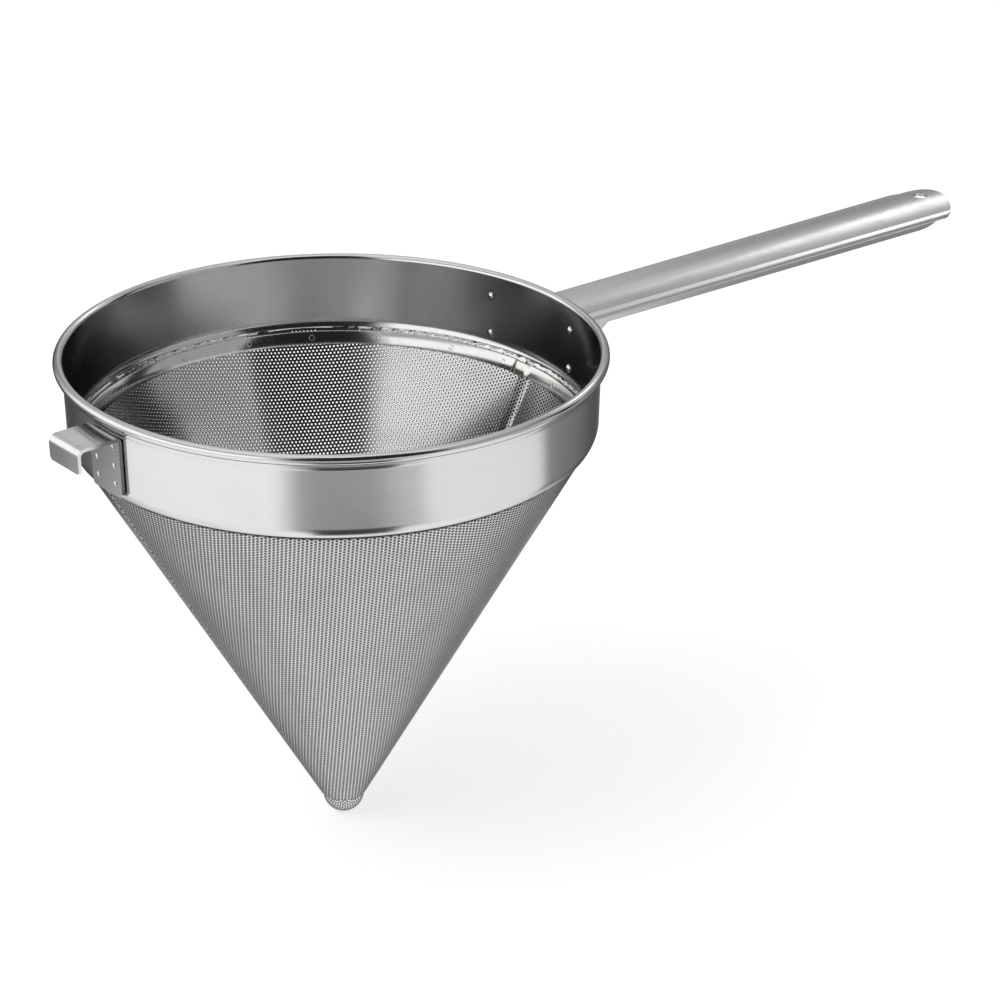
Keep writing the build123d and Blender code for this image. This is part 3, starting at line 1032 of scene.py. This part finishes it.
class Steel:
    """A material with polishing lines round the axis, or straight along X, that takes tints and painted
    shade.
    """

    def __init__(self, name, colour, roughness, spread, along, across, lines_depth=0.000002,
                 wave_size=0.05, wave_depth=0.00002, smudge_size=0.03, scratches=1.0, straight=False,
                 grazing_tint=0.3):
        self.material, self.build, self.shader = material_tree(name)
        build = self.build
        self.position = build.add("ShaderNodeTexCoord", output="Object")
        if straight:
            lines_vector = build.vector("MULTIPLY", self.position, (along, across, across))
        else:
            lines_vector = build.group(round_the_axis(), {
                "Position": self.position, "Along": along, "Across": across,
            }).vector
        marks = build.group(sheet_marks(), {
            "Lines Vector": lines_vector, "Position": self.position, "Lines Depth": lines_depth,
            "Wave Size": wave_size, "Wave Depth": wave_depth, "Smudge Size": smudge_size,
            "Scratches": scratches,
        })
        self.smudge = marks.smudge
        darker = [channel * 0.9 for channel in colour]
        shade = self.smudge * 0.6 + marks.lines * 0.4
        self.tone = build.mix(shade, (*colour, 1.0), (*darker, 1.0))
        self.roughness = (
            roughness + self.smudge * spread + (marks.lines - 0.5) * spread + marks.scratch * 0.15)
        bump = build.add("ShaderNodeBump", {"Height": marks.height, "Distance": 1.0, "Strength": 1.0})
        build.fill(self.shader, {
            "Metallic": 1.0, "Specular Tint": (grazing_tint, grazing_tint, grazing_tint, 1.0),
            "Base Color": self.tone, "Roughness": self.roughness, "Normal": bump,
        })

    def tint(self, mask, colour):
        """Lays a colour over the steel where the mask is."""
        self.tone = self.build.mix(mask, self.tone, (*colour, 1.0))
        self.build.fill(self.shader, {"Base Color": self.tone})

    def paint_shade(self, mask, roughness=0.5):
        """Lays painted shade, a near-black colour standing in for shade, over the steel where the mask is."""
        self.tint(mask, settings("steel").painted_shade)
        self.roughness = self.roughness * (1.0 - mask) + mask * roughness
        self.build.fill(self.shader, {"Roughness": self.roughness})


def sheet_steel(name):
    steel = Steel(
        name, settings("steel").sheet, roughness=0.16, spread=0.04, along=6.0, across=900.0,
        lines_depth=0.000001, wave_size=0.06, wave_depth=0.00006, scratches=0.3)
    build = steel.build
    dirt = settings("dirt")

    # Painted shade on the hole walls and in a ring round each hole, fainter on the outer face
    edge = build.add("ShaderNodeAttribute", output="Fac", attribute_name=HOLE_EDGE)
    radial = build.vector("MULTIPLY", steel.position, (1.0, 1.0, 0.0))
    normal = build.add("ShaderNodeNewGeometry", output="True Normal")
    outside = build.vector("DOT_PRODUCT", normal, radial) > 0.0
    steel.paint_shade(build.smooth_step(edge, 0.38, 0.78) * (dirt.holes - outside * dirt.outside))

    # Painted shade along the lap's step and under the band's flange
    lap = build.add("ShaderNodeAttribute", output="Fac", attribute_name=LAP)
    steel.paint_shade(lap * dirt.lap, roughness=0.35)
    crevice = build.group(under_the_flange(), {
        "Position": steel.position, "Flange Height": band_low.z, "Half Angle": cone_half_angle,
        "Apex Height": cone_apex_height, "Reach": dirt.flange_reach,
    }).crevice
    steel.paint_shade(crevice * dirt.flange)
    return steel.material


def band_steel(name):
    return Steel(
        name, settings("steel").band, roughness=0.16, spread=0.05, along=5.0, across=700.0,
        lines_depth=0.0000015, wave_size=0.07, wave_depth=0.00008, smudge_size=0.06,
        scratches=0.35).material


def ring_steel(name):
    colours = settings("steel")
    ring = settings("ring")
    steel = Steel(
        name, colours.band, roughness=0.14, spread=0.06, along=5.0, across=900.0,
        lines_depth=0.0000015, wave_size=0.02, scratches=0.5)

    # Heat stain where the ring steps over the lap
    x, y, z = steel.build.split(steel.position)
    away = abs(steel.build.math("ARCTAN2", y, x) - (ring.lap_turn - ring.lap_reach * 0.4))
    stain = steel.build.smooth_step(away, ring.lap_reach * 0.9, ring.lap_reach * 0.2)
    steel.tint(stain * (steel.smudge * 0.5 + 0.3), colours.heat_tint)
    return steel.material


def rivet_steel(name):
    steel = Steel(
        name, settings("steel").handle, roughness=0.12, spread=0.08, along=400.0, across=700.0,
        lines_depth=0.000001, wave_size=0.003, wave_depth=0.00001, smudge_size=0.004, straight=True)

    # Painted shade where the head meets the band
    x, y, z = steel.build.split(steel.position)
    inner_wall = wall_radius - settings("band").sheet
    foot = steel.build.smooth_step(
        steel.build.from_axis(x, y), inner_wall - SHADING_START, inner_wall - SHADING_FULL)
    steel.paint_shade(foot * settings("dirt").rivets)
    return steel.material


class STRAINER_OT_finish(Operator):
    """Gives the wire, handle and hook their steel"""

    bl_idname = "strainer.finish"
    bl_label = "Steel finishes"

    def execute(self, context):
        colours = settings("steel")
        finishes = {
            "rim_wire": Steel(
                "Drawn wire", colours.band, roughness=0.3, spread=0.1, along=5.0, across=900.0),
            "handle": Steel(
                "Satin handle", colours.handle, roughness=0.21, spread=0.04, along=9.0, across=1100.0,
                lines_depth=0.0000012, wave_size=0.09, wave_depth=0.00003, smudge_size=0.08,
                scratches=0.3, straight=True, grazing_tint=0.5),
            "hook": Steel(
                "Satin hook", colours.handle, roughness=0.13, spread=0.05, along=60.0, across=900.0,
                lines_depth=0.000001, wave_size=0.02, wave_depth=0.00001, scratches=0.3, straight=True),
        }
        for name, steel in finishes.items():
            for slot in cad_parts[name].material_slots:
                slot.material = steel.material
        return {"FINISHED"}


# Stage

BASE_LEVEL = 0.8  # light from the directions that no patch covers

# Name: azimuth of the middle, half width, lowest and highest elevation, soft border (degrees), level
SURROUND = {
    "overhead sheet": (0, 180, 52, 95, 10, 1.1),
    "left upper wall": (172, 38, 38, 54, 6, 0.55),
    "right upper wall": (310, 30, 42, 54, 8, 0.45),
    "handle shade": (18, 16, 40, 54, 6, 0.36),
    "over the handle": (15, 42, 50, 74, 8, 0.74),
    "left softbox": (157, 52, 0, 36, 5, 1.6),
    "camera flag": (248, 33, 3, 72, 4, 0.02),
    "right wall": (308, 24, 6, 44, 6, 0.5),
    "right flag": (341, 8, 0, 44, 4, 0.03),
    "back right wall": (7, 17, -6, 16, 8, 0.28),
    "back softbox": (43, 24, 24, 40, 5, 0.92),
    "back window": (25, 9, 28, 36, 5, 3.1),
    "back wall": (40, 22, -5, 24, 5, 0.68),
    "back left wall": (76, 14, -2, 26, 5, 0.55),
    "behind the handle": (57, 9, -18, 42, 5, 1.05),
    "table edge": (84, 6, -12, 6, 5, 0.1),
    "table below": (0, 180, -95, -36, 12, 1.35),
    "table glow": (69, 8, -58, -36, 6, 1.4),
    "table left": (108, 28, -38, -8, 4, 0.3),
    "low left softbox": (181, 39, -38, -10, 10, 1.36),
    "low camera flag": (236, 18, -38, -4, 16, 0.5),
    "low right softbox": (301, 33, -38, -8, 8, 1.2),
    "far right table": (320, 16, -17, -6, 3, 0.42),
    "low right flag": (0, 35, -38, -8, 8, 0.36),
    "dark foot": (242, 17, -52, -29, 6, 0.08),
    "dark behind": (49, 13, -42, -20, 3, 0.04),
}


@node_group(
    "Soft patch",
    ["Azimuth", "Elevation", "Under", "Middle", "Half Width", "Low", "High", "Border", "Level"], ["Level"])
def soft_patch(build, given):
    """One soft-edged patch of the surround, laid over the level so far."""
    half_width, elevation, low, high = given.half_width, given.elevation, given.low, given.high
    border = given.border * 0.5
    away = abs(build.math("WRAP", given.azimuth - given.middle, 180.0, -180.0))
    side = build.smooth_step(away, half_width + border, half_width - border)
    bottom = build.smooth_step(elevation, low - border, low + border)
    top = build.smooth_step(elevation, high + border, high - border)
    lift = side * (bottom * top) * (given.level - given.under)
    return {"Level": given.under + lift}


@node_group("Studio surround", ["Direction"], ["Level"])
def surround(build, given):
    """What polished metal sees of the studio in each direction from the strainer."""
    x, y, z = build.split(build.vector("NORMALIZE", given.direction))
    azimuth = build.math("DEGREES", build.math("ARCTAN2", y, x))
    elevation = build.math("DEGREES", build.math("ARCSINE", z))
    level = BASE_LEVEL
    for name, (middle, half_width, low, high, border, value) in SURROUND.items():
        level = build.group(soft_patch(), {
            "Azimuth": azimuth, "Elevation": elevation, "Under": level, "Middle": middle,
            "Half Width": half_width, "Low": low, "High": high, "Border": border, "Level": value,
        }, label=name).level
    return {"Level": level}


def direction(azimuth, elevation):
    """Unit vector at an angle about Z and an angle above the level."""
    return Vector(polar(math.cos(elevation), azimuth, math.sin(elevation)))


def add_camera(sizes):
    camera = linked("camera", bpy.data.cameras.new("camera"))
    forward = direction(sizes.camera_azimuth + math.pi - sizes.camera_yaw, -sizes.camera_pitch)
    right = forward.cross(Vector((0, 0, 1))).normalized()
    up = right.cross(forward)
    cos_roll, sin_roll = math.cos(sizes.camera_roll), math.sin(sizes.camera_roll)
    rolled_right = right * cos_roll + up * sin_roll
    rolled_up = up * cos_roll - right * sin_roll
    facing = Matrix((rolled_right, rolled_up, -forward)).transposed().to_4x4()
    spot = direction(sizes.camera_azimuth, 0) * sizes.camera_distance + Vector((0, 0, sizes.camera_height))
    camera.matrix_world = Matrix.Translation(spot) @ facing
    camera.data.sensor_fit = "HORIZONTAL"
    camera.data.sensor_width = 36.0
    camera.data.lens = camera.data.sensor_width * sizes.focal_share
    bpy.context.scene.camera = camera


def ray_kinds(build):
    """1 for a ray that metal or glass sends on, and 1 for a ray from the camera."""
    path = build.add_all("ShaderNodeLightPath")
    return path.is_glossy_ray.at_least(path.is_transmission_ray), path.is_camera_ray


def add_floor(sizes):
    """A pale floor, in whose place polished metal sees the surround."""
    mesh = bpy.data.meshes.new("floor")
    reach, z = sizes.floor_reach, sizes.floor_level
    corners = [(-reach, -reach, z), (reach, -reach, z), (reach, reach, z), (-reach, reach, z)]
    mesh.from_pydata(corners, [], [(0, 1, 2, 3)])
    material, build, shader = material_tree("Pale floor")
    reflected, seen = ray_kinds(build)
    build.fill(shader, {
        "Base Color": (*sizes.floor_colour, 1.0), "Roughness": 0.9, "Specular IOR Level": 0.1,
        "Emission Color": (1, 1, 1, 1), "Emission Strength": seen * sizes.floor_lift,
    })
    way = build.add("ShaderNodeTexCoord", output="Object")
    level = build.group(surround(), {"Direction": way}).level
    glow = build.add("ShaderNodeEmission", {"Strength": level})
    mixed = build.add("ShaderNodeMixShader", {0: reflected, 1: Value(build, shader.outputs[0]), 2: glow})
    build.fill(material.node_tree.nodes["Material Output"], {"Surface": mixed})
    mesh.materials.append(material)
    floor = linked("floor", mesh)


def add_world(sizes):
    """Even light, in whose place polished metal sees the surround."""
    world = bpy.data.worlds.new("studio")
    world.use_nodes = True
    bpy.context.scene.world = world
    build = TreeBuilder(world.node_tree)
    reflected, seen = ray_kinds(build)
    way = build.add("ShaderNodeTexCoord", output="Generated")
    level = build.group(surround(), {"Direction": way}).level
    even = seen * (1.0 - sizes.world_light) + sizes.world_light
    strength = build.add("ShaderNodeMix", {"Factor": reflected, "A": even, "B": level})
    build.fill(world.node_tree.nodes["Background"], {"Color": (1, 1, 1, 1), "Strength": strength})


def add_key_light(azimuth, elevation, distance, size, power):
    """A square lamp that faces the strainer, its angles in degrees, unseen by camera and metal."""
    data = bpy.data.lights.new("key", "AREA")
    data.shape = "SQUARE"
    data.size = size
    data.energy = power
    lamp = linked("key", data)
    way = direction(math.radians(azimuth), math.radians(elevation))
    lamp.location = way * distance
    lamp.rotation_euler = (-way).to_track_quat("-Z", "Y").to_euler()
    lamp.visible_camera = False
    lamp.visible_glossy = False


class STRAINER_OT_stage(Operator):
    """Sets the camera, the floor and the light of the studio"""

    bl_idname = "strainer.stage"
    bl_label = "Stage"

    def execute(self, context):
        sizes = settings("stage")
        add_camera(sizes)
        add_floor(sizes)
        add_world(sizes)
        add_key_light(azimuth=170, elevation=55, distance=2.5, size=1.6, power=18)
        bpy.context.scene.view_settings.view_transform = "Standard"
        return {"FINISHED"}


class STRAINER_PT_panel(Panel):
    """Lists the strainer's steps"""

    bl_label = "Strainer"
    bl_idname = "STRAINER_PT_panel"
    bl_space_type = "VIEW_3D"
    bl_region_type = "UI"
    bl_category = "Strainer"

    def draw(self, context):
        for operator in OPERATORS:
            self.layout.operator(operator.bl_idname)


PROPERTY_GROUPS = {
    "sheet": SheetSizes,
    "band": BandSizes,
    "ring": RingSizes,
    "cap": CapSizes,
    "rivets": RivetSizes,
    "steel": SteelColours,
    "dirt": ShadingShares,
    "stage": StageSizes,
}
OPERATORS = [
    STRAINER_OT_band,
    STRAINER_OT_perforated_cone,
    STRAINER_OT_retaining_ring,
    STRAINER_OT_spot_welds,
    STRAINER_OT_tip_cap,
    STRAINER_OT_rivets,
    STRAINER_OT_finish,
    STRAINER_OT_stage,
]


def register():
    for name, group in PROPERTY_GROUPS.items():
        bpy.utils.register_class(group)
        setattr(bpy.types.Scene, "strainer_" + name, PointerProperty(type=group))
    for kind in [*OPERATORS, STRAINER_PT_panel]:
        bpy.utils.register_class(kind)


def unregister():
    for kind in reversed([*OPERATORS, STRAINER_PT_panel]):
        bpy.utils.unregister_class(kind)
    for name, group in PROPERTY_GROUPS.items():
        delattr(bpy.types.Scene, "strainer_" + name)
        bpy.utils.unregister_class(group)


def main():
    register()
    for operator in OPERATORS:
        group, name = operator.bl_idname.split(".")
        getattr(getattr(bpy.ops, group), name)()


if __name__ == "__main__":
    main()
